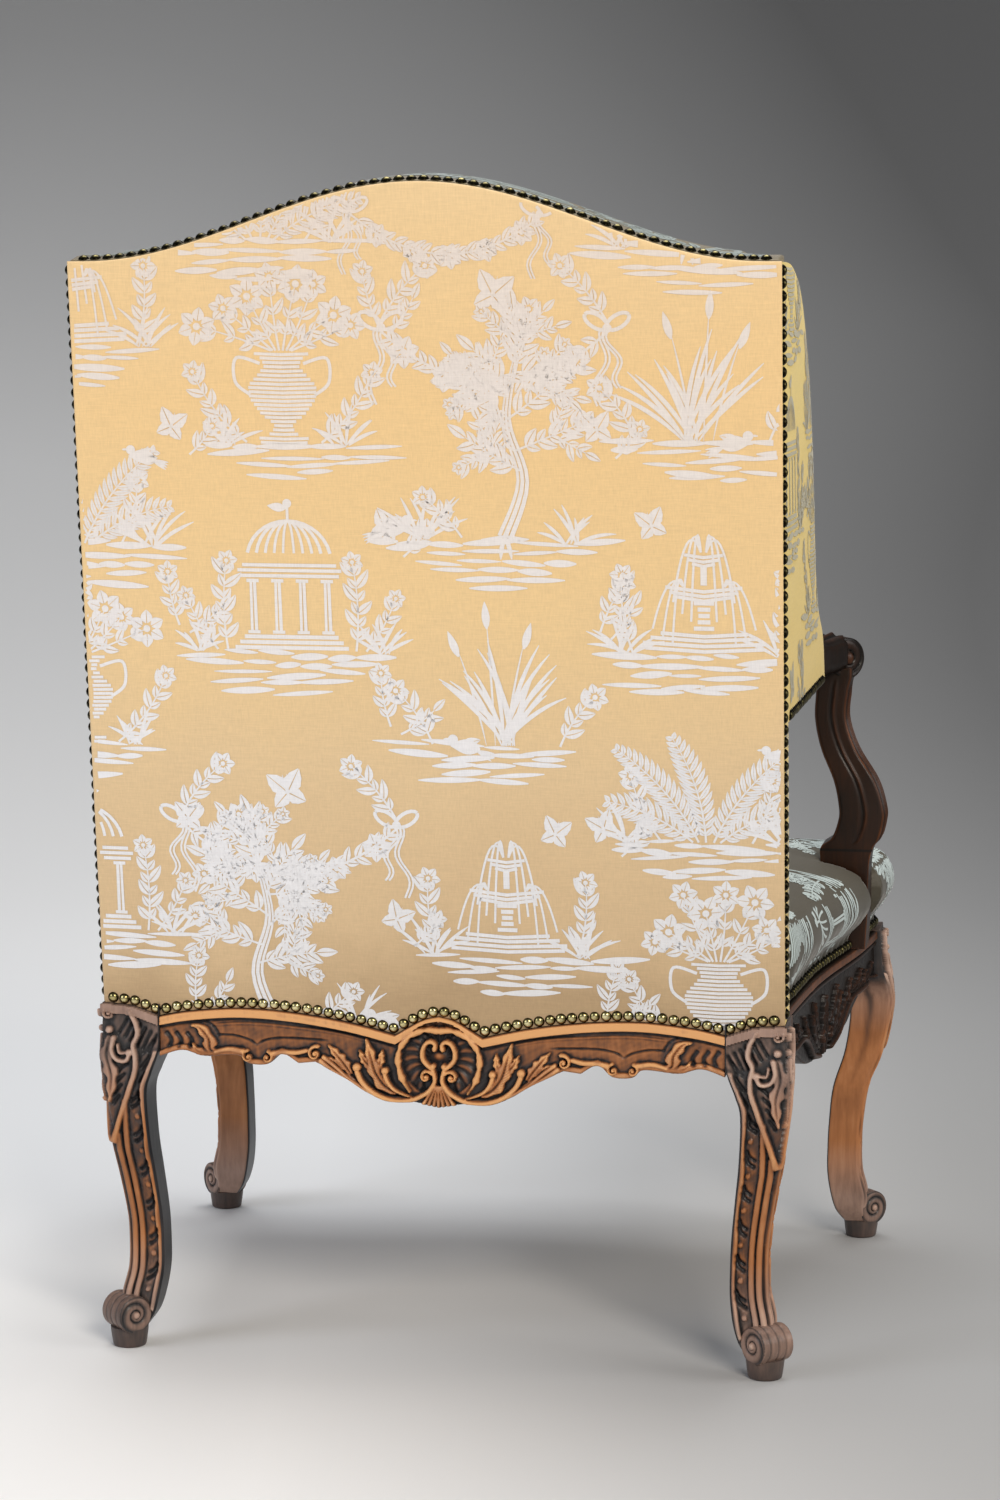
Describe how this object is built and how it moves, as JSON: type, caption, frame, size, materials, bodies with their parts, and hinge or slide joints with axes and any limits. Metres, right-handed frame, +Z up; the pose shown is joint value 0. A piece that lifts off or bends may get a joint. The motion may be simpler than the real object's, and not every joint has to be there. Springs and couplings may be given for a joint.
{
  "type": "wingback armchair",
  "caption": "Winged armchair with a carved cabriole-legged wooden frame, open scrolled arms, domed seat and arched upholstered back.",
  "frame": {"origin": "middle of the chair's footprint on the floor", "axes": "+Z up, -Y the way the chair faces, +X to the sitter's left"},
  "size_m": [0.8008, 0.738, 1.1705],
  "materials": {
    "carved_walnut": "waxed, dark in the recesses",
    "beech": "raw, planed",
    "gold_silk": "woven, gold ground with ivory figure",
    "seat_silk": "woven, taupe ground with pale figure",
    "webbing": "woven jute",
    "hessian": "open jute weave",
    "hair_stuffing": "linen scrim over curled hair",
    "antique_brass_nail": "antiqued, domed"
  },
  "bodies": {
    "root": {"back_leg_left": "carved_walnut", "back_leg_right": "carved_walnut", "front_leg_left": "carved_walnut", "front_leg_right": "carved_walnut", "back_rail": "carved_walnut", "front_rail": "carved_walnut", "side_rail_left": "carved_walnut", "side_rail_right": "carved_walnut", "corner_blocks": "beech", "joint_pegs": "beech", "crest_rail": "beech", "stuffing_rail": "beech", "wing_board_left": "beech", "wing_board_right": "beech", "arm_left": "carved_walnut", "arm_right": "carved_walnut", "arm_support_left": "carved_walnut", "arm_support_right": "carved_walnut", "seat_webbing": "webbing", "seat_hessian": "hessian", "seat_stuffing": "hair_stuffing", "seat_cover": "seat_silk", "back_webbing": "webbing", "back_hessian": "hessian", "back_stuffing": "hair_stuffing", "inside_back_cover": "gold_silk", "outside_back_cover": "gold_silk", "wing_hessian_left": "hessian", "wing_hessian_right": "hessian", "wing_stuffing_left": "hair_stuffing", "wing_stuffing_right": "hair_stuffing", "inside_wing_cover_left": "gold_silk", "inside_wing_cover_right": "gold_silk", "outside_wing_cover_left": "gold_silk", "outside_wing_cover_right": "gold_silk", "post_cover_left": "gold_silk", "post_cover_right": "gold_silk", "top_border": "gold_silk", "wing_border_left": "gold_silk", "wing_border_right": "gold_silk", "back_rail_nails": "antique_brass_nail", "post_nails_left": "antique_brass_nail", "post_nails_right": "antique_brass_nail", "crest_nails": "antique_brass_nail", "wing_nails": "antique_brass_nail", "seat_front_nails": "antique_brass_nail", "seat_side_nails": "antique_brass_nail"}
  },
  "joints": []
}
